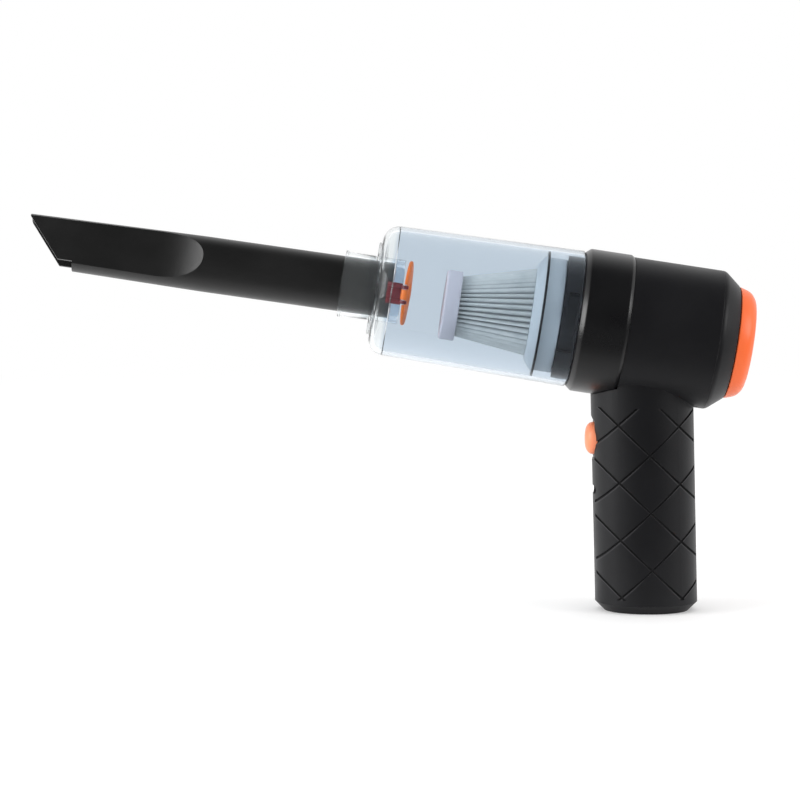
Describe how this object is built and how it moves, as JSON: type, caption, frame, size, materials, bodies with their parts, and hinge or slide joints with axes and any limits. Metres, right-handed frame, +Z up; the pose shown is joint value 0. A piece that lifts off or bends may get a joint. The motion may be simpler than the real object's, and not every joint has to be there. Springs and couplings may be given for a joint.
{
  "type": "mini vacuum cleaner",
  "caption": "Gun-shaped cordless mini vacuum: crevice nozzle, clear dust cup with cone filter, motor barrel, diamond-grooved handle with push button.",
  "frame": {"origin": "centre of the flat base under the handle", "axes": "+Z up, the nozzle points to -X, the barrel lies in the XZ plane and rises to the nose by 8.65 degrees"},
  "size_m": [0.3071, 0.0604, 0.168],
  "materials": {
    "black_housing": "satin",
    "black_inner": "matte",
    "nozzle_black": "satin",
    "orange_plastic": "satin",
    "orange_rubber": "matte",
    "dark_red_plastic": "satin",
    "clear_plastic": "gloss",
    "filter_plastic": "matte",
    "filter_paper": "matte",
    "black_rubber": "matte",
    "fan_plastic": "satin",
    "steel": "satin",
    "brass": "satin",
    "copper_wire": "satin",
    "nickel": "satin",
    "ferrite": "matte",
    "cell_wrap": "satin",
    "board_green": "satin",
    "switch_black": "satin"
  },
  "bodies": {
    "housing": {"body_shell_left": "black_housing", "body_shell_right": "black_housing", "collar_ring": "black_housing", "intake_guard": "black_inner", "fan_case": "black_inner", "motor_plate": "black_inner", "motor_can": "steel", "motor_end_bell": "black_inner", "motor_terminals": "brass", "motor_bushes": "brass", "motor_magnets": "ferrite", "motor_cushions": "black_rubber", "rear_bezel": "black_housing", "handle_base_cap": "black_housing", "battery_cell": "cell_wrap", "battery_cradle": "black_inner", "battery_contacts": "nickel", "charge_board": "board_green", "charge_socket": "steel", "power_switch": "switch_black", "housing_screws": "steel"},
    "rotor": {"impeller": "fan_plastic", "motor_shaft": "steel", "motor_armature": "steel", "armature_windings": "copper_wire"},
    "power_button": {"power_button": "orange_plastic"},
    "dust_cup": {"dust_cup": "clear_plastic", "inlet_sleeve": "clear_plastic", "flap_bracket": "dark_red_plastic", "flap_pin": "steel"},
    "inlet_flap": {"inlet_flap": "orange_rubber"},
    "crevice_nozzle": {"crevice_nozzle": "nozzle_black"},
    "filter": {"filter_end_cap": "filter_plastic", "filter_pleats": "filter_paper", "filter_base": "filter_plastic", "filter_gasket": "black_rubber"},
    "exhaust_cap": {"exhaust_cap": "orange_plastic"}
  },
  "joints": [
    {"name": "rotor_spin", "type": "hinge", "parent": "housing", "child": "rotor", "pos_m": [-0.0008, 0, 0.1189], "axis": [0.9886, 0, -0.1504], "continuous": true},
    {"name": "button_press", "type": "slide", "parent": "housing", "child": "power_button", "axis": [1, 0, 0], "range_m": [0, 0.0012], "stiffness_N_per_m": 500, "springref_m": -0.001},
    {"name": "cup_turn", "type": "hinge", "parent": "housing", "child": "dust_cup", "pos_m": [-0.0008, 0, 0.1189], "axis": [0.9886, 0, -0.1504], "range_deg": [0, 28]},
    {"name": "flap_swing", "type": "hinge", "parent": "dust_cup", "child": "inlet_flap", "pos_m": [-0.10283, -0.016, 0.13442], "axis": [-0.1504, 0, -0.9886], "range_deg": [-5, 19], "stiffness_Nm_per_rad": 0.002},
    {"name": "nozzle_pull", "type": "slide", "parent": "dust_cup", "child": "crevice_nozzle", "axis": [-0.9886, 0, 0.1504], "range_m": [0, 0.021]},
    {"name": "filter_pull", "type": "slide", "parent": "housing", "child": "filter", "axis": [-0.9886, 0, 0.1504], "range_m": [0, 0.0036]},
    {"name": "exhaust_cap_pull", "type": "slide", "parent": "housing", "child": "exhaust_cap", "axis": [0.9886, 0, -0.1504], "range_m": [0, 0.0048]}
  ]
}
